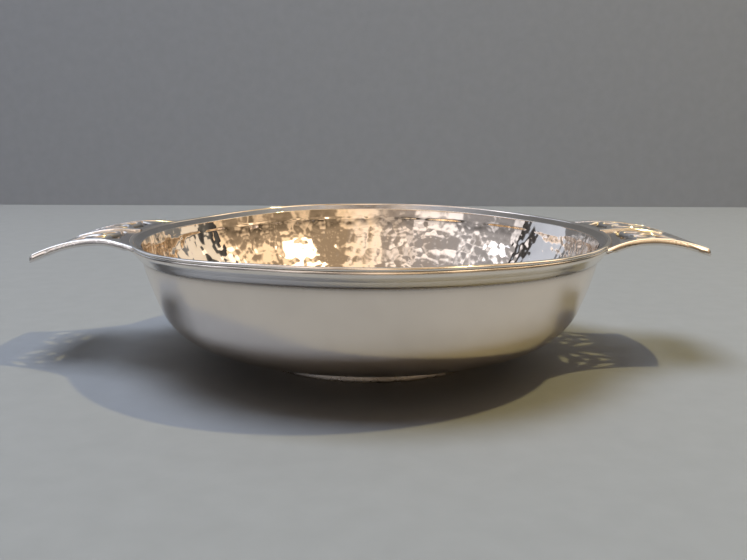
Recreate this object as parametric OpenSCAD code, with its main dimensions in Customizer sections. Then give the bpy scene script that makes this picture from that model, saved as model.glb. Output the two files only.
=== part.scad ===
// Quaich: a shallow silver drinking bowl with two flat pierced handles.
// Millimetres, +Z up, handles along X. The origin is on the table under the middle of the bowl.

/* [Bowl] */
// Diameter across the outside of the lip wire
rim_d = 116; // [108:0.5:124]
// Height from the table to the top of the lip wire
rim_h = 31.5; // [30:0.25:34]
// Thickness of the raised sheet
wall = 1.2; // [0.9:0.1:1.5]
// Lean of the wall from upright, just under the lip, in degrees
lean = 8; // [5:0.5:11]
// Radius of the gently curved wall, seen in section
side_r = 48; // [44:1:54]
// Radius of the turn between the wall and the base
turn_r = 15.3; // [13:0.1:17]
// Radius of the dished base
base_r = 157; // [140:1:180]
// Gap between the middle of the base and the table
base_gap = 0.4; // [0.2:0.1:0.8]

/* [Lip] */
// How far the flared lip leans out beyond the wall
flare_w = 3.3; // [2.8:0.1:3.8]
// Height of the flared lip
flare_h = 4.3; // [3.8:0.1:4.8]
// Diameter of the round wire along the lip
wire_d = 1.3; // [1.1:0.05:1.5]
// Width of the sloping top inside the wire, measured from the outside of the wire
lip_w = 2.4; // [2.2:0.1:2.7]
// How far that top falls from the wire to its inner edge
lip_fall = 1.25; // [1:0.05:1.5]
// Thickness of the inner edge
lip_edge = 0.4; // [0.3:0.05:0.5]
// Thickness of the moulding strip under its reeds
strip_t = 0.4; // [0.3:0.05:0.5]
// How far each reed of the moulding stands out from the strip
reed_h = 0.25; // [0.15:0.05:0.4]

/* [Foot] */
// Diameter across the bottom edge of the foot ring
foot_d = 58.4; // [52:0.2:64]
// Thickness of the foot ring at the table
foot_t = 1.8; // [1.4:0.1:2.4]
// How much wider the foot ring is at the table than at the base
foot_spread = 0.7; // [0.3:0.1:1]

/* [Handles] */
// Length of a handle beyond the lip
handle_len = 23.8; // [21.4:0.2:26]
// Width of a handle at its narrow waist
waist_w = 30.6; // [28:0.2:33]
// Radius of the hollow side of a handle
scoop_r = 36.5; // [33:0.5:40]
// Half of the angle that a handle takes up along the rim, in degrees
root_a = 25.5; // [24:0.25:26]
// Radius of the bowed end of a handle
end_r = 50; // [42:1:60]
// Thickness of the handle plate
plate_t = 1.4; // [1.2:0.05:1.6]
// Radius of the arch along the underside of a handle
arch_r = 46; // [40:1:52]
// Depth of the arch's underside below the top of the lip wire
crest_drop = 1.9; // [1.7:0.1:2.3]
// How far the left handle is bent down from the set of the right one, in degrees
left_droop = 7; // [0:0.5:8]
// Width of the raised border along the sides and end
border_w = 1.3; // [1:0.1:1.6]
// How far the border stands above the plate
border_h = 0.25; // [0.15:0.05:0.4]
// Width of the middle rib at the bowl
rib_w = 1.8; // [1.4:0.1:2.2]
// Width of the middle rib at its round outer end
rib_end_w = 2.8; // [2.4:0.1:3.2]
// How far the rib stands above the plate
rib_h = 0.65; // [0.5:0.05:0.8]

/* [Knotwork] */
// Width of the knot's strand
strand_w = 1.5; // [1.2:0.05:1.7]
// Width of the gap beside a strand that crosses over
cross_gap = 0.3; // [0.2:0.05:0.4]
// Depth of the sunk ground around the knot
sunk = 0.55; // [0.4:0.05:0.7]
// Ledge of ground left along the strand beside each piercing
ledge = 0.22; // [0.15:0.01:0.3]
// Width of the plain band between the lip and the knotwork
band_w = 2; // [1.6:0.1:2.4]

/* [Hidden] */
$fn = 96;

SILVER = [0.87, 0.85, 0.81];
SILVER_WORN = [0.8, 0.78, 0.74];

// Middle of the lip wire, in section
rim_r = rim_d / 2;
wire_r = wire_d / 2;
lip_r = rim_r - wire_r;
lip_z = rim_h - wire_r;

// The sheet's level thickness, the top of the wall where the flare starts, and the level where the
// lip takes over from the flare
level_t = wall / cos(lean);
wall_top_r = lip_r + level_t / 2 - flare_w;
wall_top_z = lip_z - flare_h;
lip_low_z = rim_h - lip_fall - lip_edge;
flare_len = norm([flare_w, flare_h]);
flare_tilt = atan2(flare_h, flare_w);

// Centres of the three arcs of the bowl's section; each arc runs into the next without a corner
base_c = [0, base_gap + base_r];
side_c = [wall_top_r - side_r * cos(lean), wall_top_z + side_r * sin(lean)];
turn_c = outer_crossing(base_c, base_r - turn_r, side_c, side_r - turn_r);
base_end = direction(base_c, turn_c);
side_end = direction(side_c, turn_c);
arc_step = 4;

// The moulding's two reeds share the flare below the wire, each with a fine flat at its sides
reed_w = (flare_len - 0.55 * wire_d) / 2;
reed_half = reed_w / 2 - 0.08;
reed_r = (reed_half * reed_half + reed_h * reed_h) / (2 * reed_h);

// Places along a handle, all carried by the lip: its end, the top of its arch, the rib's end and
// the middles of its knots
reach = rim_r + handle_len;
crest_out = 0.285 * handle_len;
rib_reach = rim_r + 0.64 * handle_len;
knot_x = rim_r + 0.316 * handle_len;
knot_y = 0.3 * waist_w;

// A hollow side starts at the corner where the handle's root meets the rim
root_corner = rim_r * [cos(root_a), sin(root_a)];
scoop_y = waist_w / 2 + scoop_r;
scoop_x = root_corner[0] + sqrt(scoop_r * scoop_r - pow(scoop_y - root_corner[1], 2));

// Axes of the two arches, along X and Z, and the space that handle pieces are cut from
right_axis = arch_axis(0);
left_axis = arch_axis(left_droop);
cut_low = rim_h - 10;
cut_h = 16;
span = rim_d;

// The handles bed this far into the tops of the reeds, as soldered
solder_bed = 0.03;

// The knot is drawn with three equal circles that cross in its middle; its three points lie on a
// circle of radius knot_r
knot_r = 0.235 * waist_w;
knot_mid = 0.25 * knot_r;
knot_c = (knot_r * knot_r - knot_mid * knot_mid) / (knot_r + 2 * knot_mid);
ring_r = knot_c + knot_mid;
pierce_r = knot_r - 0.7;

// The knot's circles are drawn in short chords, turned so that no corner falls on a crossing
knot_step = 8;
knot_turn = 1.3;

function direction(from, to) = atan2(to[1] - from[1], to[0] - from[0]);
function on_circle(c, r, a) = c + r * [cos(a), sin(a)];

// Outer radius of the flare at a height
function flare_r(z) = wall_top_r + flare_w * (z - wall_top_z) / flare_h;

// The axis of an arch that is turned down about the top of the lip
function arch_axis(droop) =
    let (down = crest_drop + arch_r)
    [rim_r + crest_out * cos(droop) - down * sin(droop),
     rim_h - crest_out * sin(droop) - down * cos(droop)];

// The crossing of two circles that is farther from the bowl's axis
function outer_crossing(p, pr, q, qr) =
    let (gap = norm(q - p), along = (gap * gap + pr * pr - qr * qr) / (2 * gap))
    let (across = sqrt(pr * pr - along * along), u = (q - p) / gap)
    let (ends = [for (side = [-1, 1]) p + along * u + side * across * [-u[1], u[0]]])
    ends[0][0] > ends[1][0] ? ends[0] : ends[1];

// Points along an arc from angle a to angle b
function arc_points(c, r, a, b) =
    let (n = ceil(abs(b - a) / arc_step))
    [for (i = [0 : n]) on_circle(c, r, a + (b - a) * i / n)];

// The bowl's section from the axis to the top of the wall, moved in by a thickness
function section_points(inset) =
    let (top_a = asin((wall_top_z - side_c[1]) / (side_r - inset)))
    concat(arc_points(base_c, base_r - inset, -90, base_end),
           arc_points(turn_c, turn_r - inset, base_end, side_end),
           arc_points(side_c, side_r - inset, side_end, top_a));

module wire_section() {
    translate([lip_r, lip_z]) circle(wire_r);
}

module flare_section() {
    polygon([[wall_top_r, wall_top_z], [flare_r(lip_low_z), lip_low_z],
             [flare_r(lip_low_z) - level_t, lip_low_z], [wall_top_r - level_t, wall_top_z]]);
}

// A wire with a sloping top inside it, which overhangs the flare a little
module lip_section() {
    inner_r = rim_r - lip_w;
    wire_section();
    polygon([[lip_r, rim_h - 0.18 * wire_r], [inner_r, rim_h - lip_fall], [inner_r, lip_low_z],
             [flare_r(lip_low_z), lip_low_z], [flare_r(lip_z), lip_z]]);
}

// Solid section under the bowl's outer surface, for seating the foot
module outer_section() {
    polygon(concat(section_points(0), [[0, wall_top_z]]));
}

module bowl_section() {
    difference() {
        outer_section();
        polygon(concat(section_points(wall), [[0, wall_top_z + 1]]));
    }
    flare_section();
}

// Two shallow reeds on a thin strip, laid along the outside of the flare
module moulding_section() {
    translate([wall_top_r, wall_top_z]) rotate(flare_tilt) {
        translate([0, -strip_t]) square([2 * reed_w, strip_t]);
        for (i = [0, 1]) translate([(i + 0.5) * reed_w, -strip_t]) reed_section();
    }
}

module reed_section() {
    intersection() {
        translate([0, reed_r - reed_h]) circle(reed_r);
        translate([-reed_w, -reed_w]) square([2 * reed_w, reed_w]);
    }
}

module bowl() {
    color(SILVER) rotate_extrude() bowl_section();
}

module lip_wire() {
    color(SILVER) rotate_extrude() lip_section();
}

module rim_moulding() {
    color(SILVER) rotate_extrude() difference() {
        moulding_section();
        wire_section();
    }
}

module foot_ring() {
    foot_r = foot_d / 2;
    color(SILVER_WORN) rotate_extrude() difference() {
        polygon([[foot_r - foot_t, 0], [foot_r, 0],
                 [foot_r - foot_spread, 5], [foot_r - foot_t, 5]]);
        outer_section();
    }
}

// Outline of a handle from above, moved in by an inset
module handle_outline(inset = 0) {
    difference() {
        intersection() {
            translate([reach - end_r, 0]) circle(end_r - inset);
            polygon([[0, 0], 2 * reach * [1, -tan(root_a)], 2 * reach * [1, tan(root_a)]]);
        }
        for (side = [-1, 1]) translate([scoop_x, side * scoop_y]) circle(scoop_r + inset);
        circle(lip_r - 2);
    }
}

// Turns what is drawn in section so that it lies along an arch
module on_arch(axis) {
    translate([axis[0], 0, axis[1]]) rotate([90, 0, 0]) children();
}

// A curved layer between two heights above the arch's underside
module arch_layer(axis, low, high) {
    on_arch(axis) linear_extrude(height = span, center = true) difference() {
        circle(arch_r + high);
        circle(arch_r + low);
    }
}

module upright(h = cut_h) {
    translate([0, 0, cut_low]) linear_extrude(height = h) children();
}

// The lip wire and the tops of the reeds, which every piece of a handle is cut to fit
module rim_seat() {
    rotate_extrude() {
        wire_section();
        translate([wall_top_r, wall_top_z]) rotate(flare_tilt)
            translate([-4, solder_bed - strip_t - reed_h]) square([4 + 2 * reed_w, 6]);
    }
}

module knot_disc(r) {
    polygon([for (a = [0 : knot_step : 359]) r * [cos(a + knot_turn), sin(a + knot_turn)]]);
}

// One full circle of the knot, as wide as a strand plus extra on each side
module knot_ring(i, extra = 0) {
    rotate(60 + 120 * i) translate([knot_c, 0]) difference() {
        knot_disc(ring_r + strand_w / 2 + extra);
        knot_disc(ring_r - strand_w / 2 - extra);
    }
}

// The part of a circle that belongs to the knot, mitred at the two points where it turns back
module knot_strand(i) {
    difference() {
        knot_ring(i);
        rotate(120 * i) translate([knot_r / 2, 0]) square(3 * knot_r);
        rotate(120 * (i + 1)) mirror([0, 1]) translate([knot_r / 2, 0]) square(3 * knot_r);
    }
}

// Short gaps that break the strand passing under circle i
module knot_crossing(i) {
    intersection() {
        rotate(120 * i + 300) translate([knot_r - knot_c, 0]) circle(1.15 * strand_w);
        difference() {
            knot_ring(i, cross_gap);
            knot_ring(i);
        }
    }
}

module knot_piercings() {
    difference() {
        circle(pierce_r);
        for (i = [0 : 2]) knot_ring(i, ledge);
    }
}

module knot_strands() {
    difference() {
        for (i = [0 : 2]) knot_strand(i);
        for (i = [0 : 2]) knot_crossing(i);
    }
}

module at_knots() {
    for (side = [0, 1]) mirror([0, side]) translate([knot_x, knot_y]) children();
}

// The sunk field around each knot: inside the border, beside the rib and beyond the plain band
module knot_field() {
    intersection() {
        handle_outline(border_w + 0.4);
        at_knots() circle(knot_r + 1.6);
        difference() {
            translate([0, -end_r]) square([2 * end_r, 2 * end_r]);
            circle(rim_r + band_w);
            translate([0, -rib_end_w / 2 - 0.2]) square([2 * reach, rib_end_w + 0.4]);
        }
    }
}

module handle_plate(axis) {
    difference() {
        intersection() {
            arch_layer(axis, 0, plate_t);
            upright() handle_outline();
        }
        rim_seat();
        upright() at_knots() knot_piercings();
        intersection() {
            arch_layer(axis, plate_t - sunk, plate_t + 2);
            upright() difference() {
                knot_field();
                at_knots() knot_strands();
            }
        }
    }
}

module handle_border(axis) {
    difference() {
        intersection() {
            arch_layer(axis, plate_t, plate_t + border_h);
            upright() difference() {
                handle_outline();
                handle_outline(border_w);
            }
        }
        rim_seat();
    }
}

module handle_rib(axis) {
    crown_r = rib_end_w;
    difference() {
        intersection() {
            on_arch(axis) rotate_extrude()
                translate([arch_r + plate_t + rib_h - crown_r, 0]) circle(crown_r);
            upright() rib_outline();
        }
        on_arch(axis) cylinder(r = arch_r + plate_t, h = span, center = true);
        rim_seat();
    }
}

// The rib widens from the bowl to a round end
module rib_outline() {
    end_x = rib_reach - rib_end_w / 2;
    translate([end_x, 0]) circle(rib_end_w / 2);
    polygon([[lip_r, -rib_w / 2], [end_x, -rib_end_w / 2],
             [end_x, rib_end_w / 2], [lip_r, rib_w / 2]]);
}

module right_handle() {
    color(SILVER) handle_plate(right_axis);
}

module right_handle_border() {
    color(SILVER_WORN) handle_border(right_axis);
}

module right_handle_rib() {
    color(SILVER_WORN) handle_rib(right_axis);
}

module left_handle() {
    color(SILVER) rotate([0, 0, 180]) handle_plate(left_axis);
}

module left_handle_border() {
    color(SILVER_WORN) rotate([0, 0, 180]) handle_border(left_axis);
}

module left_handle_rib() {
    color(SILVER_WORN) rotate([0, 0, 180]) handle_rib(left_axis);
}

bowl();
lip_wire();
rim_moulding();
foot_ring();
right_handle();
right_handle_border();
right_handle_rib();
left_handle();
left_handle_border();
left_handle_rib();
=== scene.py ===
# The looks of a silver quaich: a hammered bowl with a wired and reeded lip, a foot ring and two
# pierced knotwork handles. Sizes of the object are in millimetres. The frame, Blender, the stage and
# the lamps are in metres.
import math

import bpy
import numpy as np
from mathutils import Matrix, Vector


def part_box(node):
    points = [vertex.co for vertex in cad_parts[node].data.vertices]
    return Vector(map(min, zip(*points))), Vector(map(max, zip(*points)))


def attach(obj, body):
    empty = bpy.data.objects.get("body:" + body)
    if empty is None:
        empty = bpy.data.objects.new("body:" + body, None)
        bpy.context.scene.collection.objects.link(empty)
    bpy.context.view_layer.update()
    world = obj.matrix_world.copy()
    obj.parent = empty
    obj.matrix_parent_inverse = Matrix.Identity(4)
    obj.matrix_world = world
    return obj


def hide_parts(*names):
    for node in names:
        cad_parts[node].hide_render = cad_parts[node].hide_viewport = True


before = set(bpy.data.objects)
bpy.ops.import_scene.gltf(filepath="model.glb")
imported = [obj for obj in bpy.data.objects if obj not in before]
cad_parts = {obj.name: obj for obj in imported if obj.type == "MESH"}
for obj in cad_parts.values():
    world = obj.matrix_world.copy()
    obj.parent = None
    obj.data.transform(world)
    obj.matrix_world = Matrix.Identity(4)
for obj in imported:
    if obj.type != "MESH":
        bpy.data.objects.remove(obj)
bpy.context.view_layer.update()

MM = 0.001
BODY = "root"

# Sizes taken from the frame
lip_low, lip_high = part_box("lip_wire")
RIM_R = lip_high.x / MM
RIM_H = lip_high.z / MM
LIP_LOW = lip_low.z / MM
FOOT_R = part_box("foot_ring")[1].x / MM
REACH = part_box("right_handle")[1].x / MM
HANDLE_LEN = REACH - RIM_R

# The lip: a wire with a sloping top inside it that ends in a rounded edge, and the arcs of the wire
# and the edge that show
WIRE_R = 0.45
WIRE_ARC = (math.radians(-80), math.radians(175))
LIP_W = 2.7
LIP_FALL = 1.5
LIP_EDGE_R = 0.18
LIP_EDGE_ARC = (math.radians(130), math.radians(270))
LIP_EDGE_AT = np.array([RIM_R - LIP_W + LIP_EDGE_R, RIM_H - LIP_FALL - LIP_EDGE_R])
LIP_R = RIM_R - WIRE_R
LIP_Z = RIM_H - WIRE_R

# How much painted shade darkens the lip's sloping top, and the handles' collars beside it
SLOPE_SHADE = 0.45

# Section of the bowl: a dished base, a turn and a gently curved wall, then the flared lip
WALL = 1.2
LEAN = math.radians(10)
SIDE_R = 60
TURN_R = 14
BASE_R = 170
BASE_GAP = 0.4
FLARE = np.array([2.8, 3.95])
LEVEL_T = WALL / math.cos(LEAN)
WALL_TOP = np.array([LIP_R + LEVEL_T / 2 - FLARE[0], LIP_Z - FLARE[1]])
FLARE_LEN = np.hypot(*FLARE)
ALONG_FLARE = FLARE / FLARE_LEN
OUT_OF_FLARE = np.array([ALONG_FLARE[1], -ALONG_FLARE[0]])

# The moulding's strip and its two reeds, which stop short of the wire's middle
STRIP_T = 0.4
REED_H = 0.25
REED_STOP = 1.2 * WIRE_R
REED_W = (FLARE_LEN - REED_STOP) / 2
REED_POINTS = 61
REED_POWER = 2.4

# How far the reeds fall from their tops, as shares of their height: at the strip's lower edge, in the
# groove between them and at the upper edge, which rolls over to the wire
LOWER_FALL = 1
GROOVE_FALL = 0.1
UPPER_FALL = 2.35

# Painted shade in the crease at the moulding's lower edge: how far it reaches on the strip and the bowl, and
# how strong it is on the strip. Then how satin the strip is
CREASE_SHADE_REACH = 0.6
MOULDING_SHADE = 0.7
MOULDING_SATIN = 0.6

# The foot ring: its spread and waist, the rounding of its edges, where the outer rounding ends, and
# the share of its height above which it is darkened with painted shade
FOOT_T = 1.8
FOOT_SPREAD = 0.15
FOOT_WAIST = 0.05
FOOT_TOP = 3.2
FOOT_ROUND = 0.4
FOOT_ROUND_END = math.radians(8)
FOOT_SHADED_FROM = 0.75

# Meshes that turn round the bowl's axis: points in a turn, and the steps along their sections
BOWL_TURNS = 880
RING_TURNS = 480
INSIDE_STEP = 0.38
OUTSIDE_STEP = 0.8
WIRE_STEP = 0.06
SLOPE_STEP = 0.2
FOOT_STEP = 0.08

# Edges that turn by more than this stay sharp
TURNED_SHARP = math.radians(45)
HANDLE_SHARP = math.radians(50)

# How far the rim has sunk in use: under the right handle, under the left one and at the front, and
# the half angles of the sunk parts
RIGHT_SAG = 0.9
LEFT_SAG = 1.5
FRONT_SAG = 0.4
SAG_FULL = math.radians(28)
SAG_END = math.radians(74)

# How much fuller the wall is at the front and back than at the handles, and at which heights
BELLY = 0.8
BELLY_Z = 9
BELLY_HALF_H = 6

# Hammer blows: how far apart they fall, the hammer's crown, how much the ridges are softened, and the
# seed of their places. The waves are the broad unevenness under the blows inside
INSIDE_BLOWS = (2.7, 24, 0.004, 11)
INSIDE_WAVES = (9, 75, 0.05, 5)
OUTSIDE_BLOWS = (7, 260, 0.04, 23)

# How far a blow strays and how far it reaches, in spacings, and how much the crowns vary
BLOW_JITTER = 0.35
BLOW_REACH = 2.5
CROWN_LEAST = 0.75
CROWN_MOST = 1.35

# Keeps the logarithm finite where no blow reaches
LEAST_TOTAL = 1e-30

# The smoother band above the hammering: how much of the blows it shows, and the step below it
BAND_SHARE = 0.5
BAND_STEP = 0.08

# How much thinner the hammered sheet is at the top of the wall, and where it starts to thin
THINNED = 0.65
THIN_FROM = 12

# Plan of a handle: its waist, the hollow sides, the root's half angle and the bowed end
WAIST_W = 30.6
SCOOP_R = 36.5
ROOT_A = math.radians(25.5)
END_R = 50
CORNER_R = 0.9
BURIED = 0.75
ROOT_X = RIM_R * math.cos(ROOT_A)
ROOT_Y = RIM_R * math.sin(ROOT_A)
SCOOP_Y = WAIST_W / 2 + SCOOP_R
SCOOP_X = ROOT_X + math.sqrt(SCOOP_R ** 2 - (SCOOP_Y - ROOT_Y) ** 2)

# The grid that a handle's heights are drawn on, and how far it runs past the root, sides and end
GRID = 0.18
GRID_PAST_ROOT = 4
GRID_PAST_SIDES = 2
GRID_PAST_END = 3 * GRID

# Section of a handle: its plate, which thins at the root's ends, and its arch and droop
PLATE_T = 1.4
ROOT_TAPER = 4
ROOT_THINNED = 0.7 * PLATE_T
ARCH_R = 46
CREST_DROP = 1.9
CREST_OUT = 0.285 * HANDLE_LEN
LEFT_DROOP = math.radians(7)
RIGHT_DROOP = math.radians(2)
EDGE_ROUND = 0.3

# How far the roots are let down with the sunk rim, and how far out from the rim that reaches
RIGHT_ROOT_DROP = 0.25
LEFT_ROOT_DROP = 0.55
ROOT_DROP_W = 7

# The border, which stands over the plate and rounds down past its edge, and the rib
BORDER_W = 1.3
BORDER_H = 0.25
BORDER_FALL = 0.85
BORDER_LOW = PLATE_T - BORDER_FALL - 0.13
PLATE_EDGE_FALL = BORDER_FALL + 0.15
RIB_W = 1.8
RIB_END_W = 2.8
RIB_H = 0.64
RIB_END = RIM_R + 0.64 * HANDLE_LEN - RIB_END_W / 2
RIB_LOW = PLATE_T - EDGE_ROUND / 2

# The knots: three circles that cross, with a strand along each
KNOT_X = RIM_R + 0.316 * HANDLE_LEN
KNOT_Y = 0.3 * WAIST_W
KNOT_R = 0.235 * WAIST_W
KNOT_MID = 0.25 * KNOT_R
KNOT_C = (KNOT_R ** 2 - KNOT_MID ** 2) / (KNOT_R + 2 * KNOT_MID)
RING_R = KNOT_C + KNOT_MID
STRAND_W = 1.5
STRAND_CROWN = 0.12

# How much a strand rises where it goes over and sinks where it goes under, and the reach of a crossing
OVER = 0.14
UNDER = 0.336
CROSSING_R = 1.3 * STRAND_W

# The sunk ground round a knot: its depth, its sloping side, and its distances from the border, the lip
# and the rib. The openings keep a ledge beside the strands
SUNK = 0.55
FIELD_SIDE = 0.35
FIELD_R = KNOT_R + 1.6
BORDER_GAP = 0.4
RIB_GAP = 0.2
BAND_W = 2
LEDGE = 0.36
PIERCE_R = KNOT_R - 0.7

# Camera, for an image of 747 by 560 pixels
IMAGE_W = 747
FOCAL_PX = 820
SENSOR_W = 36
CAMERA_AT = (0, -203.6, 56.9)
CAMERA_DOWN = math.radians(10.89)
CAMERA_TURN = math.radians(0.23)
CAMERA_ROLL = math.radians(0.23)
CAMERA_NEAR = 0.01

# Stage: half the floor's side, where the backdrop stands and how high it is, and their colours
STAGE_HALF = 2.2
BACKDROP_Y = 0.363
BACKDROP_H = 0.9
FLOOR = (0.35, 0.35, 0.345)
FLOOR_ROUGH = 0.55
BACKDROP = (0.425, 0.425, 0.45)
BACKDROP_ROUGH = 0.8
MOTTLE_SCALE = 160
MOTTLE_SPAN = (0.3, 0.7)
MOTTLE_LEVELS = (0.97, 1.03)

# Silver: clean colours, and the dark tones of its hollows and of its painted shade
BRIGHT = (0.95, 0.855, 0.76)
WARM = (0.94, 0.87, 0.79)
PALE = (0.96, 0.91, 0.86)
HANDLE_TONE_AND_SHADE = (0.3, 0.26, 0.22)
DARK = (0.13, 0.115, 0.1)

# Clouds of tarnish, the fine grain of the polish, and how much hollows and satin faces are dulled
CLOUD_SCALE = 70
CLOUD_SPAN = (0.42, 0.72)
GRAIN_SCALE = 420
GRAIN_SPAN = (0.35, 0.7)
DULLING = 0.13

# Two sets of polishing lines: their scales, and how they are drawn out along the axes
HAIRLINE_SETS = [(900, (1, 1, 14)), (1100, (9, 1, 2))]
HAIRLINE_DEPTH = 0.00004

# Noise detail: of the room's patches, the polishing lines, the clouds, and the grain and the stage's
# mottle
ROOM_DETAIL = 2
HAIRLINE_DETAIL = 3
CLOUD_DETAIL = 5
GRAIN_DETAIL = 6

# The room that polished metal shows: its colours from left to right, its brightness low down, and its
# patches
DIM = (0.015, 0.016, 0.018)
ROOM_LEFT = (0.95, 0.94, 1)
ROOM_RIGHT = (0.95, 0.7, 0.45)
HUE_SPAN = (-0.9, 0.3)
ROOM_LOW = 0.15
HEIGHT_SPAN = (0.05, 0.35)
ROOM_PATCHES = 4
PATCH_SPAN = (0.44, 0.56)
PATCH_LEVELS = (0.4, 1.35)

# Lamps: name, azimuth and elevation in degrees, distance, width, height, colour and watts. The overhead
# lamp isn't seen in the metal, and the cards are seen only there
WARM_LIGHT = (1, 0.84, 0.64)
SUNNY_LIGHT = (1, 0.85, 0.4)
COOL_LIGHT = (0.71, 0.81, 1)
KEY = ("key", 92, 65, 1.2, 0.035, 0.035, SUNNY_LIGHT, 4.7)
OVERHEAD = ("overhead", -100, 82, 1.2, 0.6, 0.6, COOL_LIGHT, 13)
CARDS = [
    ("left_window", -100, 44, 0.9, 0.5, 0.5, COOL_LIGHT, 1.0),
    ("right_wall", 105, 38, 0.9, 0.4, 0.4, WARM_LIGHT, 0.6),
    ("warm_lamp", 48, 38, 0.9, 0.3, 0.2, WARM_LIGHT, 0.4),
    ("back_right", 128, 22, 0.5, 0.22, 0.2, WARM_LIGHT, 0.1),
    ("back_left", -128, 22, 0.5, 0.3, 0.28, COOL_LIGHT, 0.16),
]


# Sections and lathe work

def arc_line(centre, radius, start, end, step):
    """Points along an arc, and the directions from its centre to them."""
    count = max(2, math.ceil(abs(end - start) * radius / step))
    angle = np.linspace(start, end, count + 1)
    away = np.stack([np.cos(angle), np.sin(angle)], 1)
    return centre + radius * away, away


def direction(start, end):
    return math.atan2(end[1] - start[1], end[0] - start[0])


def outer_crossing(p, p_r, q, q_r):
    """The crossing of two circles that is farther from the bowl's axis."""
    gap = np.hypot(*(q - p))
    along = (gap ** 2 + p_r ** 2 - q_r ** 2) / (2 * gap)
    across = math.sqrt(p_r ** 2 - along ** 2)
    u = (q - p) / gap
    side = np.array([-u[1], u[0]])
    ends = [p + along * u + s * across * side for s in (-1, 1)]
    return max(ends, key=lambda e: e[0])


def bowl_line(inset, step):
    """The bowl's section from the axis to the top of the wall, and the directions out of the bowl."""
    base_c = np.array([0, BASE_GAP + BASE_R])
    side_c = WALL_TOP + SIDE_R * np.array([-math.cos(LEAN), math.sin(LEAN)])
    turn_c = outer_crossing(base_c, BASE_R - TURN_R, side_c, SIDE_R - TURN_R)
    base_end = direction(base_c, turn_c)
    side_end = direction(side_c, turn_c)
    top = math.asin((WALL_TOP[1] - side_c[1]) / (SIDE_R - inset))
    arcs = [arc_line(base_c, BASE_R - inset, -math.pi / 2, base_end, step),
            arc_line(turn_c, TURN_R - inset, base_end, side_end, step),
            arc_line(side_c, SIDE_R - inset, side_end, top, step)]
    points = np.concatenate([p[i > 0:] for i, (p, _) in enumerate(arcs)])
    away = np.concatenate([d[i > 0:] for i, (_, d) in enumerate(arcs)])
    return points, away


def straight_line(start, end, step):
    count = max(1, math.ceil(np.hypot(*(end - start)) / step))
    share = np.linspace(0, 1, count + 1)[:, None]
    return start + share * (end - start)


def turned(points, turns):
    """A section's points turned round the axis, as rows of 3-D points."""
    angle = np.arange(turns) * 2 * math.pi / turns
    r = points[:, :1]
    z = np.repeat(points[:, 1:], turns, 1)
    return np.stack([r * np.cos(angle), r * np.sin(angle), z], -1)


def sagged(points):
    """Points let down towards the handles, fully at the rim and less and less below it."""
    angle = np.abs(np.arctan2(points[:, 1], points[:, 0]))
    from_front = np.abs(np.arctan2(points[:, 0], -points[:, 1]))
    depth = RIGHT_SAG * sag_share(angle) + LEFT_SAG * sag_share(math.pi - angle)
    depth += FRONT_SAG * sag_share(from_front)
    down = depth * np.clip(points[:, 2] / RIM_H, 0, 1) ** 3
    return points - down[:, None] * np.array([0, 0, 1])


def bellied(points):
    """Points moved out from the axis at the front and back of the lower wall."""
    out = np.hypot(points[:, 0], points[:, 1])
    across = points[:, 1] / np.maximum(out, 1)
    height = (points[:, 2] - BELLY_Z) / BELLY_HALF_H
    push = BELLY * across ** 2 * np.exp(-height ** 2) * smooth_step(out / LIP_R)
    grow = 1 + push / np.maximum(out, 1)
    return points * np.stack([grow, grow, np.ones_like(grow)], 1)


def sag_share(angle):
    return smooth_step((SAG_END - angle) / (SAG_END - SAG_FULL))


def smooth_step(value):
    share = np.clip(value, 0, 1)
    return share * share * (3 - 2 * share)


def lathe_faces(rows, turns, closed):
    """Quads between neighbouring rows, and between the last and the first where the section closes."""
    row = np.arange(rows if closed else rows - 1)[:, None]
    column = np.arange(turns)[None, :]
    here = row * turns
    above = (row + 1) % rows * turns
    after = (column + 1) % turns
    quads = np.stack([here + column, here + after, above + after, above + column], -1)
    return quads.reshape(-1, 4).tolist()


def add_layer(mesh, name, values):
    layer = mesh.attributes.new(name, "FLOAT", "POINT")
    layer.data.foreach_set("value", np.asarray(values, np.float32))


def make_object(name, points, faces, patina_and_shade, satin, sharp):
    """A smooth-shaded object from points in millimetres, with layers for patina in hollows and painted
    shade, and for satin faces.
    """
    mesh = bpy.data.meshes.new(name)
    mesh.from_pydata((points * MM).tolist(), [], faces)
    add_layer(mesh, "patina_and_shade", patina_and_shade)
    add_layer(mesh, "satin", satin)
    mesh.update()
    mesh.shade_smooth()
    mesh.set_sharp_from_angle(angle=sharp)
    piece = bpy.data.objects.new(name, mesh)
    bpy.context.scene.collection.objects.link(piece)
    return piece


# Hammered surfaces

def hammer_blows(s, line, spacing, rng):
    """Where the blows fall on a turned section: their distances along it and their 3-D places."""
    blows = []
    for ring in np.arange(0, s[-1], spacing):
        count = max(1, round(2 * math.pi * np.interp(ring, s, line[:, 0]) / spacing))
        start = rng.uniform(0, 2 * math.pi)
        for k in range(count):
            at = ring + spacing * rng.uniform(-BLOW_JITTER, BLOW_JITTER)
            angle = start + 2 * math.pi * (k + rng.uniform(-BLOW_JITTER, BLOW_JITTER)) / count
            blows.append((min(max(at, 0), s[-1]), angle))
    at, angle = np.array(blows).T
    r = np.interp(at, s, line[:, 0])
    z = np.interp(at, s, line[:, 1])
    return at, np.stack([r * np.cos(angle), r * np.sin(angle), z], 1)


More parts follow.
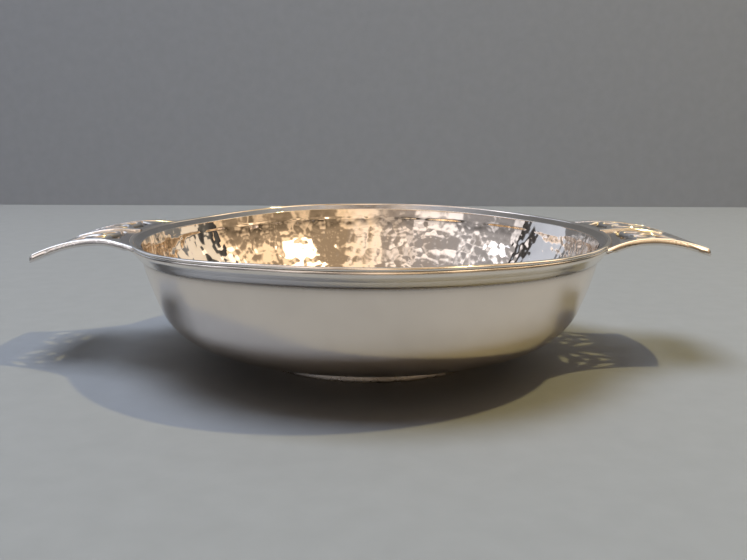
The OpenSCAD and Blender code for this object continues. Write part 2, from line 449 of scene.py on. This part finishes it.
def hammer_relief(line, spacing, crown, soft, seed):
    """Heights of a hammered surface: each blow leaves a round hollow, and ridges stand between them."""
    rng = np.random.default_rng(seed)
    steps = np.hypot(*np.diff(line, axis=0).T)
    s = np.concatenate([[0], np.cumsum(steps)])
    surface = turned(line, BOWL_TURNS)
    blow_s, places = hammer_blows(s, line, spacing, rng)
    total = np.full(surface.shape[:2], LEAST_TOTAL)
    for at, place in zip(blow_s, places):
        rows = np.abs(s - at) < BLOW_REACH * spacing
        gap = ((surface[rows] - place) ** 2).sum(-1)
        depth = gap / (2 * crown * rng.uniform(CROWN_LEAST, CROWN_MOST))
        total[rows] += np.exp(-depth / soft)
    relief = -soft * np.log(total)
    return relief - relief.mean()


# Pieces of the bowl

def smooth_band(start):
    """The inside of the flare, from the top of the wall to the lip's underside."""
    return straight_line(start, LIP_EDGE_AT, INSIDE_STEP)[1:]


def left_of(line):
    """Directions square to a line of points, to the left of its run."""
    run = np.gradient(line, axis=0)
    return np.stack([-run[:, 1], run[:, 0]], 1) / np.hypot(*run.T)[:, None]


def thinned_wall():
    """The inside of the base and wall, from the axis up; the sheet thins towards the top."""
    wall, _ = bowl_line(WALL, INSIDE_STEP)
    wall[:, 0] += THINNED * smooth_step((wall[:, 1] - THIN_FROM) / (WALL_TOP[1] - THIN_FROM))
    return wall


def inside_relief(struck, wall_rows):
    """Hammering over the whole inside, fainter in the band above the wall's rows."""
    relief = hammer_relief(struck, *INSIDE_BLOWS) + hammer_relief(struck, *INSIDE_WAVES)
    relief[:wall_rows] -= BAND_STEP
    relief[wall_rows:] *= BAND_SHARE
    return relief


def bowl_faces(rows):
    """Faces of a turned section whose ends close at two poles, which follow its rows of points."""
    faces = lathe_faces(rows, BOWL_TURNS, closed=False)
    top_pole = rows * BOWL_TURNS
    last_row = top_pole - BOWL_TURNS
    for k in range(BOWL_TURNS):
        after = (k + 1) % BOWL_TURNS
        faces.append((top_pole, after, k))
        faces.append((top_pole + 1, last_row + k, last_row + after))
    return [face[::-1] for face in faces]


def make_bowl():
    inside = thinned_wall()
    struck = np.concatenate([inside, smooth_band(inside[-1])])
    outside, _ = bowl_line(0, OUTSIDE_STEP)
    hammered = inside_relief(struck, len(inside))
    planished = hammer_relief(outside, *OUTSIDE_BLOWS)
    flare_top = WALL_TOP + FLARE * (LIP_LOW - WALL_TOP[1]) / FLARE[1]
    flare = straight_line(flare_top, outside[-1], OUTSIDE_STEP)[:-1]
    line = np.concatenate([struck[1:], flare, outside[:0:-1]])
    normal = np.concatenate([left_of(struck)[1:], left_of(flare), -left_of(outside)[:0:-1]])
    lift = np.concatenate([hammered[1:], np.zeros((len(flare), BOWL_TURNS)), planished[:0:-1]])
    points = turned(line, BOWL_TURNS) + turned(normal, BOWL_TURNS) * lift[..., None]
    poles = np.array([[0, 0, inside[0, 1] - BAND_STEP], [0, 0, outside[0, 1]]])
    points = sagged(bellied(np.concatenate([points.reshape(-1, 3), poles])))
    outer_rows = np.arange(len(line)) >= len(struck) - 1
    # Painted shade in the crease under the moulding's lower edge.
    crease_shade = np.exp(-np.abs(line[:, 1] - WALL_TOP[1]) / CREASE_SHADE_REACH) * outer_rows
    patina_and_shade = np.append(np.repeat(crease_shade, BOWL_TURNS), [0, 0])
    satin = np.append(np.repeat(outer_rows, BOWL_TURNS), [0, 1])
    return make_object("hammered_bowl", points, bowl_faces(len(line)), patina_and_shade, satin, TURNED_SHARP)


def make_ring(name, section, patina_and_shade, satin):
    """A closed section turned round the axis; its points run anticlockwise, seen with +r to the right."""
    points = sagged(turned(section, RING_TURNS).reshape(-1, 3))
    faces = lathe_faces(len(section), RING_TURNS, closed=True)
    patina_and_shade = np.repeat(patina_and_shade, RING_TURNS)
    return make_object(name, points, faces, patina_and_shade, np.full(len(points), satin), TURNED_SHARP)


def make_lip():
    wire, _ = arc_line(np.array([LIP_R, LIP_Z]), WIRE_R, *WIRE_ARC, WIRE_STEP)
    edge, _ = arc_line(LIP_EDGE_AT, LIP_EDGE_R, *LIP_EDGE_ARC, WIRE_STEP)
    slope = straight_line(wire[-1], edge[0], SLOPE_STEP)[1:-1]
    section = np.concatenate([wire, slope, edge, [[LIP_R - WIRE_R, LIP_LOW]]])
    patina_and_shade = np.zeros(len(section))
    # The sloping top is darkened with painted shade.
    patina_and_shade[len(wire):len(wire) + len(slope)] = SLOPE_SHADE
    return make_ring("sloping_lip", section, patina_and_shade, 0)


def make_moulding():
    """Two shallow reeds on a thin strip, laid along the outside of the flare."""
    t = np.linspace(0, 2 * REED_W, REED_POINTS)
    across = (t % REED_W) / REED_W * 2 - 1
    fall = np.abs(across) ** REED_POWER
    fall[-1] = 1
    below_reeds = t < 0.5 * REED_W
    between_reeds = t < 1.5 * REED_W
    deepest = np.select([below_reeds, between_reeds], [LOWER_FALL, GROOVE_FALL], UPPER_FALL)
    rise = REED_H * (1 - deepest * fall)
    outer = t[:, None] * ALONG_FLARE + (STRIP_T + rise)[:, None] * OUT_OF_FLARE
    inner = t[[-1, 0], None] * ALONG_FLARE
    section = WALL_TOP + np.concatenate([outer, inner])
    # Painted shade in the crease at the strip's lower edge.
    patina_and_shade = np.append(MOULDING_SHADE * np.exp(-t / CREASE_SHADE_REACH), [0, 0])
    return make_ring("reeded_moulding", section, patina_and_shade, MOULDING_SATIN)


def make_foot():
    inner = FOOT_R - FOOT_T
    low_out, _ = arc_line(np.array([FOOT_R - FOOT_ROUND, FOOT_ROUND]), FOOT_ROUND,
                          -math.pi / 2, FOOT_ROUND_END, FOOT_STEP)
    low_in, _ = arc_line(np.array([inner + FOOT_ROUND, FOOT_ROUND]), FOOT_ROUND,
                         math.pi, 1.5 * math.pi, FOOT_STEP)
    outer_top = np.array([FOOT_R - FOOT_SPREAD, FOOT_TOP])
    outer = straight_line(low_out[-1], outer_top, SLOPE_STEP)[1:]
    outer[:, 0] -= FOOT_WAIST * np.sin(np.linspace(0, math.pi, len(outer)))
    section = np.concatenate([low_in, low_out, outer, [[inner, FOOT_TOP]]])
    # The top of the foot, under the bowl's belly, is darkened with painted shade.
    share = section[:, 1] / FOOT_TOP
    patina_and_shade = np.clip((share - FOOT_SHADED_FROM) / (1 - FOOT_SHADED_FROM), 0, 1)
    return make_ring("foot_rim", section, patina_and_shade, 1)


# Handles, drawn as heights over a plan

def rounded_both(a, b, radius):
    """Inside both shapes, with the corner between them rounded."""
    corner = radius - np.hypot(np.maximum(radius - a, 0), np.maximum(radius - b, 0))
    return np.where((a < radius) & (b < radius), corner, np.minimum(a, b))


def handle_edge(x, y):
    """Distance inside the hollow sides and the bowed end."""
    end = END_R - np.hypot(x - (REACH - END_R), y)
    side = np.hypot(x - SCOOP_X, np.abs(y) - SCOOP_Y) - SCOOP_R
    return rounded_both(end, side, CORNER_R)


def root_ends(x, y):
    """Distance inside the lines through the bowl's middle that end the root."""
    return x * math.sin(ROOT_A) - np.abs(y) * math.cos(ROOT_A)


def handle_root(x, y):
    """Distance inside the root's two ends and outside the lip, under which the root is bedded."""
    return np.minimum(root_ends(x, y), np.hypot(x, y) - (RIM_R - BURIED))


def spun(x, y, degrees):
    """Coordinates in axes turned by an angle."""
    c = math.cos(math.radians(degrees))
    s = math.sin(math.radians(degrees))
    return c * x + s * y, c * y - s * x


def knot_plan(x, y):
    return x - KNOT_X, np.abs(y) - KNOT_Y


def ring_gap(x, y, i):
    """Distance from the middle line of circle i of the knot."""
    u, v = spun(x, y, 60 + 120 * i)
    return np.abs(np.hypot(u - KNOT_C, v) - RING_R)


def near_crossing(x, y, degrees):
    u, v = spun(x, y, degrees)
    return np.exp(-((u - (KNOT_R - KNOT_C)) ** 2 + v ** 2) / CROSSING_R ** 2)


def strand_height(x, y, i):
    """Height of strand i over the sunk ground: round on top, over one strand and under the other."""
    start_u, start_v = spun(x, y, 120 * i)
    end_u, end_v = spun(x, y, 120 * (i + 1))
    past_start = (start_u > KNOT_R / 2) & (start_v > 0)
    past_end = (end_u > KNOT_R / 2) & (end_v < 0)
    across = np.clip(ring_gap(x, y, i) / (STRAND_W / 2), 0, 1)
    weave = near_crossing(x, y, 120 * i + 300) - near_crossing(x, y, 120 * i + 180)
    crown = SUNK + STRAND_CROWN + np.where(weave > 0, OVER, UNDER) * weave
    return np.where(past_start | past_end, 0, crown * np.sqrt(1 - across ** 2))


def knot_field(x, y):
    """Distance inside the sunk ground round a knot."""
    kx, ky = knot_plan(x, y)
    gaps = [handle_edge(x, y) - BORDER_W - BORDER_GAP, FIELD_R - np.hypot(kx, ky),
            np.hypot(x, y) - (RIM_R + BAND_W), np.abs(y) - (RIB_END_W / 2 + RIB_GAP)]
    return np.minimum.reduce(gaps)


def knot_piercing(x, y):
    """Distance inside the openings between the knot's circles."""
    kx, ky = knot_plan(x, y)
    gaps = [ring_gap(kx, ky, i) - STRAND_W / 2 - LEDGE for i in range(3)]
    return np.minimum.reduce(gaps + [PIERCE_R - np.hypot(kx, ky)])


def plate_relief(x, y):
    """Heights of the knots and their sunk ground, from the plate's own top."""
    kx, ky = knot_plan(x, y)
    ground = smooth_step(knot_field(x, y) / FIELD_SIDE)
    strands = np.maximum.reduce([strand_height(kx, ky, i) for i in range(3)])
    return -SUNK * ground + strands * ground


def rounding(gap, radius):
    """How far a rounded edge falls at a distance inside it."""
    rest = np.clip(radius - gap, 0, radius)
    return radius - np.sqrt(radius ** 2 - rest ** 2)


def arch_axis(droop):
    """Middle of the arch of a handle that droops by an angle."""
    down = CREST_DROP + ARCH_R
    x = RIM_R + CREST_OUT * math.cos(droop) - down * math.sin(droop)
    z = RIM_H - CREST_OUT * math.sin(droop) - down * math.cos(droop)
    return x, z


def on_arch(x, y, level, axis):
    """Points at a level above the underside of an arch."""
    z = axis[1] + np.sqrt((ARCH_R + level) ** 2 - (x - axis[0]) ** 2)
    return np.stack([x, y, z], -1)


def plan_grid():
    x = np.arange(ROOT_X - GRID_PAST_ROOT, REACH + GRID_PAST_END, GRID)
    y = np.arange(-ROOT_Y - GRID_PAST_SIDES, ROOT_Y + GRID_PAST_SIDES, GRID)
    return np.meshgrid(x, y, indexing="ij")


def edge_crossings(inside, values, axis):
    """Places where the outline crosses the grid lines along an axis, and their grid indices."""
    low = [slice(None), slice(None)]
    high = [slice(None), slice(None)]
    low[axis] = slice(None, -1)
    high[axis] = slice(1, None)
    a = inside[tuple(low)]
    b = inside[tuple(high)]
    at = np.nonzero((a > 0) != (b > 0))
    share = (a[at] / (a[at] - b[at]))[:, None]
    return at, values[tuple(low)][at] * (1 - share) + values[tuple(high)][at] * share


def plan_faces(inside, node, along_x, along_y):
    """Faces of the part of the grid that is inside, and the edges of that part."""
    some = (inside > 0).astype(int)
    count = some[:-1, :-1] + some[1:, :-1] + some[1:, 1:] + some[:-1, 1:]
    i, j = np.nonzero(count == 4)
    whole = np.stack([node[i, j], node[i + 1, j], node[i + 1, j + 1], node[i, j + 1]], 1).tolist()
    cut = []
    rim = []
    for i, j in zip(*np.nonzero((count > 0) & (count < 4))):
        walk = [node[i, j], along_x[i, j], node[i + 1, j], along_y[i + 1, j],
                node[i + 1, j + 1], along_x[i, j + 1], node[i, j + 1], along_y[i, j]]
        ring = [(int(v), k % 2) for k, v in enumerate(walk) if v >= 0]
        cut.append([v for v, _ in ring])
        for (a, a_cross), (b, b_cross) in zip(ring, ring[1:] + ring[:1]):
            if a_cross and b_cross:
                rim.append((a, b))
    return whole + cut, rim


def relief_piece(name, inside, top, low, patina_and_shade, half_turn):
    """A closed piece over the part of the plan that is inside, between two sheets of points."""
    values = np.concatenate([top, low, patina_and_shade[..., None]], -1)
    node = np.full(inside.shape, -1)
    node[inside > 0] = np.arange((inside > 0).sum())
    rows = [values[inside > 0]]
    found = (inside > 0).sum()
    ids = []
    for axis in (0, 1):
        at, crossing = edge_crossings(inside, values, axis)
        table = np.full(inside.shape, -1)
        table[at] = found + np.arange(len(crossing))
        found += len(crossing)
        rows.append(crossing)
        ids.append(table)
    data = np.concatenate(rows)
    faces, rim = plan_faces(inside, node, *ids)
    under = [[v + found for v in face[::-1]] for face in faces]
    walls = [[b, a, a + found, b + found] for a, b in rim]
    points = np.concatenate([data[:, :3], data[:, 3:6]])
    drop = LEFT_ROOT_DROP if half_turn else RIGHT_ROOT_DROP
    out = np.hypot(points[:, 0], points[:, 1]) - RIM_R
    points[:, 2] -= drop * smooth_step(1 - out / ROOT_DROP_W)
    if half_turn:
        points = points * np.array([-1, -1, 1])
    patina_and_shade = np.concatenate([data[:, 6], np.zeros(found)])
    return make_object(name, points, faces + under + walls, patina_and_shade, np.zeros(len(points)), HANDLE_SHARP)


def make_handle_plate(name, axis, half_turn):
    x, y = plan_grid()
    edge = handle_edge(x, y)
    holes = -knot_piercing(x, y)
    inside = np.minimum.reduce([edge, handle_root(x, y), holes])
    carved = plate_relief(x, y)
    relief = carved - rounding(holes, EDGE_ROUND / 2) - rounding(edge, PLATE_EDGE_FALL)
    taper = ROOT_THINNED * smooth_step(1 - root_ends(x, y) / ROOT_TAPER)
    top = on_arch(x, y, PLATE_T + relief, axis)
    low = on_arch(x, y, rounding(edge, EDGE_ROUND) + taper, axis)
    # The collar beside the lip is darkened with painted shade; the sunk ground round the knots is toned with
    # patina.
    collar_shade = smooth_step((RIM_R + BAND_W - np.hypot(x, y)) / EDGE_ROUND)
    patina_and_shade = np.clip(-carved / SUNK, 0, 1) + SLOPE_SHADE * collar_shade
    return relief_piece(name, inside, top, low, patina_and_shade, half_turn)


def make_handle_border(name, axis, half_turn):
    x, y = plan_grid()
    edge = handle_edge(x, y)
    inside = np.minimum.reduce([edge, BORDER_W - edge, handle_root(x, y)])
    across = np.clip(np.minimum(edge, BORDER_W - edge) / (BORDER_W / 2), 0, 1)
    bead = np.sqrt(1 - (1 - across) ** 2)
    outer_side = edge < BORDER_W / 2
    level = np.where(outer_side, (BORDER_H + BORDER_FALL) * bead - BORDER_FALL, BORDER_H * bead)
    top = on_arch(x, y, PLATE_T + level, axis)
    low = on_arch(x, y, np.full_like(x, BORDER_LOW), axis)
    return relief_piece(name, inside, top, low, np.zeros_like(x), half_turn)


def make_handle_rib(name, axis, half_turn):
    x, y = plan_grid()
    share = np.clip((x - LIP_R) / (RIB_END - LIP_R), 0, 1)
    half = (RIB_W + share * (RIB_END_W - RIB_W)) / 2
    gap = np.where(x < RIB_END, half - np.abs(y), RIB_END_W / 2 - np.hypot(x - RIB_END, y))
    inside = np.minimum(gap, handle_root(x, y))
    crown = RIB_H * np.sqrt(1 - (1 - np.clip(gap / half, 0, 1)) ** 2)
    top = on_arch(x, y, PLATE_T + crown, axis)
    low = on_arch(x, y, np.full_like(x, RIB_LOW), axis)
    return relief_piece(name, inside, top, low, np.zeros_like(x), half_turn)


# Materials

def add_node(tree, kind, settings=(), **inputs):
    node = tree.nodes.new(kind)
    for key, value in dict(settings).items():
        setattr(node, key, value)
    for key, value in inputs.items():
        node.inputs[key.replace("_", " ")].default_value = value
    return node


def add_noise(tree, place, scale, detail):
    noise = add_node(tree, "ShaderNodeTexNoise", Scale=scale, Detail=detail)
    tree.links.new(place, noise.inputs["Vector"])
    return noise.outputs["Fac"]


def add_range(tree, value, low, high, to_low, to_high):
    spread = add_node(tree, "ShaderNodeMapRange", From_Min=low, From_Max=high, To_Min=to_low, To_Max=to_high)
    tree.links.new(value, spread.inputs["Value"])
    return spread.outputs["Result"]


def add_math(tree, operation, a, b):
    node = add_node(tree, "ShaderNodeMath", {"operation": operation})
    for socket, value in zip(node.inputs, (a, b)):
        if isinstance(value, (int, float)):
            socket.default_value = value
        else:
            tree.links.new(value, socket)
    return node.outputs["Value"]


def add_scratches(tree, place, scale, stretch):
    """Fine hairlines: a noise drawn out along one axis."""
    mapping = add_node(tree, "ShaderNodeMapping", Scale=stretch)
    tree.links.new(place, mapping.inputs["Vector"])
    return add_noise(tree, mapping.outputs["Vector"], scale, HAIRLINE_DETAIL)


def toned_and_shaded_colour(tree, place, patina_and_shade, clean, tone_and_shade, cloudy):
    """Clean silver that darkens with patina in hollows and with painted shade, and under thin clouds of
    tarnish.
    """
    clouds = add_noise(tree, place, CLOUD_SCALE, CLOUD_DETAIL)
    film = add_range(tree, clouds, *CLOUD_SPAN, 0, cloudy)
    tone = add_math(tree, "MINIMUM", add_math(tree, "ADD", film, patina_and_shade), 1)
    colour = add_node(tree, "ShaderNodeMix", {"data_type": "RGBA"})
    colour.inputs["A"].default_value = (*clean, 1)
    colour.inputs["B"].default_value = (*tone_and_shade, 1)
    tree.links.new(tone, colour.inputs["Factor"])
    return colour.outputs["Result"]


def worn_roughness(tree, place, patina_and_shade, rough):
    """A fine grain between two roughnesses, duller in hollows and on satin faces."""
    satin = add_node(tree, "ShaderNodeAttribute", {"attribute_name": "satin"}).outputs["Fac"]
    grain = add_range(tree, add_noise(tree, place, GRAIN_SCALE, GRAIN_DETAIL), *GRAIN_SPAN, *rough)
    dull = add_math(tree, "MULTIPLY", add_math(tree, "ADD", patina_and_shade, satin), DULLING)
    return add_math(tree, "ADD", grain, dull)


def hairline_normal(tree, place, strength):
    lines_a, lines_b = [add_scratches(tree, place, scale, stretch) for scale, stretch in HAIRLINE_SETS]
    bump = add_node(tree, "ShaderNodeBump", Strength=strength, Distance=HAIRLINE_DEPTH)
    tree.links.new(add_math(tree, "ADD", lines_a, lines_b), bump.inputs["Height"])
    return bump.outputs["Normal"]


def silver(name, clean, tone_and_shade, cloudy, rough, hairlines):
    """Old polished silver: toned where polish misses and darkened with painted shade, with soft clouds and
    fine hairlines.
    """
    material = bpy.data.materials.new(name)
    material.use_nodes = True
    tree = material.node_tree
    shader = tree.nodes["Principled BSDF"]
    shader.inputs["Metallic"].default_value = 1
    place = add_node(tree, "ShaderNodeTexCoord").outputs["Object"]
    patina_and_shade = add_node(tree, "ShaderNodeAttribute", {"attribute_name": "patina_and_shade"}).outputs["Fac"]
    tree.links.new(toned_and_shaded_colour(tree, place, patina_and_shade, clean, tone_and_shade, cloudy), shader.inputs["Base Color"])
    tree.links.new(worn_roughness(tree, place, patina_and_shade, rough), shader.inputs["Roughness"])
    tree.links.new(hairline_normal(tree, place, hairlines), shader.inputs["Normal"])
    return material


def plain(name, colour, rough):
    """A plain matt stage colour with a very faint mottle."""
    material = bpy.data.materials.new(name)
    material.use_nodes = True
    tree = material.node_tree
    shader = tree.nodes["Principled BSDF"]
    place = add_node(tree, "ShaderNodeTexCoord").outputs["Object"]
    noise = add_noise(tree, place, MOTTLE_SCALE, GRAIN_DETAIL)
    mottle = add_range(tree, noise, *MOTTLE_SPAN, *MOTTLE_LEVELS)
    shade = add_node(tree, "ShaderNodeMix", {"data_type": "RGBA", "blend_type": "MULTIPLY"})
    shade.inputs["Factor"].default_value = 1
    shade.inputs["A"].default_value = (*colour, 1)
    tree.links.new(mottle, shade.inputs["B"])
    tree.links.new(shade.outputs["Result"], shader.inputs["Base Color"])
    shader.inputs["Roughness"].default_value = rough
    return material


# Assembly

def dress(piece, node, material):
    """The piece takes the place of a CAD node, whose part is hidden, rides on the body and takes a material.
    """
    piece.data.materials.append(material)
    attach(piece, BODY)
    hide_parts(node)


bowl_silver = silver("bowl_silver", BRIGHT, DARK, cloudy=0.08, rough=(0.03, 0.09), hairlines=0.03)
rim_silver = silver("rim_silver", WARM, DARK, cloudy=0.08, rough=(0.04, 0.12), hairlines=0.03)
# The foot's heavy clouds are partly tarnish and partly painted shade for the shadow it stands in.
foot_silver = silver("foot_silver", WARM, DARK, cloudy=0.75, rough=(0.12, 0.22), hairlines=0.02)
handle_silver = silver("handle_silver", PALE, HANDLE_TONE_AND_SHADE, cloudy=0.15, rough=(0.06, 0.16), hairlines=0.05)

dress(make_bowl(), "bowl", bowl_silver)
dress(make_lip(), "lip_wire", rim_silver)
dress(make_moulding(), "rim_moulding", rim_silver)
dress(make_foot(), "foot_ring", foot_silver)
for side, droop, half_turn in (("right", RIGHT_DROOP, False), ("left", LEFT_DROOP, True)):
    axis = arch_axis(droop)
    plate = make_handle_plate(side + "_pierced_plate", axis, half_turn)
    border = make_handle_border(side + "_border_bead", axis, half_turn)
    rib = make_handle_rib(side + "_tapered_rib", axis, half_turn)
    dress(plate, side + "_handle", handle_silver)
    dress(border, side + "_handle_border", handle_silver)
    dress(rib, side + "_handle_rib", handle_silver)


# Stage, light and camera

def make_panel(name, corners, material):
    mesh = bpy.data.meshes.new(name)
    mesh.from_pydata(corners, [], [(0, 1, 2, 3)])
    mesh.materials.append(material)
    panel = bpy.data.objects.new(name, mesh)
    bpy.context.scene.collection.objects.link(panel)


def aim(thing, at, back, up):
    """Places a camera or lamp that looks along minus its own Z."""
    side = np.cross(up, back)
    side = side / np.linalg.norm(side)
    true_up = np.cross(back, side)
    turn = Matrix([list(row) for row in np.stack([side, true_up, back], 1)])
    thing.matrix_world = Matrix.Translation(at) @ turn.to_4x4()


def add_softbox(name, azimuth, elevation, distance, width, height, colour, watts):
    """An area lamp that faces the bowl; azimuth 0 is behind the camera and 90 is to the right."""
    a = math.radians(azimuth)
    e = math.radians(elevation)
    back = np.array([math.sin(a) * math.cos(e), -math.cos(a) * math.cos(e), math.sin(e)])
    lamp = bpy.data.lights.new(name, "AREA")
    lamp.shape = "RECTANGLE"
    lamp.size = width
    lamp.size_y = height
    lamp.color = colour
    lamp.energy = watts
    holder = bpy.data.objects.new(name, lamp)
    bpy.context.scene.collection.objects.link(holder)
    aim(holder, back * distance, back, np.array([0, 0, 1]))
    return holder


def room_colour(tree, across):
    """Cool on the left and warm on the right."""
    hue = add_node(tree, "ShaderNodeMix", {"data_type": "RGBA"})
    hue.inputs["A"].default_value = (*ROOM_LEFT, 1)
    hue.inputs["B"].default_value = (*ROOM_RIGHT, 1)
    tree.links.new(add_range(tree, across, *HUE_SPAN, 0, 1), hue.inputs["Factor"])
    return hue.outputs["Result"]


def room_strength(tree, place, up):
    """Dark low down, with lighter and darker patches."""
    height = add_range(tree, up, *HEIGHT_SPAN, ROOM_LOW, 1)
    noise = add_noise(tree, place, ROOM_PATCHES, ROOM_DETAIL)
    patches = add_range(tree, noise, *PATCH_SPAN, *PATCH_LEVELS)
    return add_math(tree, "MULTIPLY", height, patches)


def make_world():
    """A dim even light, and for polished metal a room."""
    world = bpy.data.worlds.new("soft_room")
    world.use_nodes = True
    tree = world.node_tree
    dim = tree.nodes["Background"]
    dim.inputs["Color"].default_value = (*DIM, 1)
    room = add_node(tree, "ShaderNodeBackground")
    place = add_node(tree, "ShaderNodeTexCoord").outputs["Generated"]
    parts = add_node(tree, "ShaderNodeSeparateXYZ")
    tree.links.new(place, parts.inputs["Vector"])
    tree.links.new(room_colour(tree, parts.outputs["X"]), room.inputs["Color"])
    tree.links.new(room_strength(tree, place, parts.outputs["Z"]), room.inputs["Strength"])
    choice = add_node(tree, "ShaderNodeMixShader")
    tree.links.new(add_node(tree, "ShaderNodeLightPath").outputs["Is Glossy Ray"], choice.inputs["Fac"])
    tree.links.new(dim.outputs["Background"], choice.inputs[1])
    tree.links.new(room.outputs["Background"], choice.inputs[2])
    tree.links.new(choice.outputs["Shader"], tree.nodes["World Output"].inputs["Surface"])
    bpy.context.scene.world = world


def make_camera():
    lens = bpy.data.cameras.new("camera")
    lens.sensor_width = SENSOR_W
    lens.lens = SENSOR_W * FOCAL_PX / IMAGE_W
    lens.clip_start = CAMERA_NEAR
    holder = bpy.data.objects.new("camera", lens)
    bpy.context.scene.collection.objects.link(holder)
    flat = math.cos(CAMERA_DOWN)
    ahead = np.array([math.sin(CAMERA_TURN) * flat, math.cos(CAMERA_TURN) * flat, -math.sin(CAMERA_DOWN)])
    right = np.array([math.cos(CAMERA_TURN), -math.sin(CAMERA_TURN), 0])
    up = math.cos(CAMERA_ROLL) * np.cross(right, ahead) - math.sin(CAMERA_ROLL) * right
    aim(holder, np.array(CAMERA_AT) * MM, -ahead, up)
    bpy.context.scene.camera = holder


def make_stage():
    """A pale floor, and a backdrop behind the bowl."""
    s = STAGE_HALF
    floor = [(-s, -s, 0), (s, -s, 0), (s, s, 0), (-s, s, 0)]
    backdrop = [(-s, BACKDROP_Y, 0), (s, BACKDROP_Y, 0), (s, BACKDROP_Y, BACKDROP_H),
                (-s, BACKDROP_Y, BACKDROP_H)]
    make_panel("floor", floor, plain("floor", FLOOR, FLOOR_ROUGH))
    make_panel("backdrop", backdrop, plain("backdrop", BACKDROP, BACKDROP_ROUGH))


make_stage()
add_softbox(*KEY)
add_softbox(*OVERHEAD).visible_glossy = False
for card in CARDS:
    add_softbox(*card).visible_diffuse = False
make_world()
make_camera()
bpy.context.scene.view_settings.view_transform = "Standard"
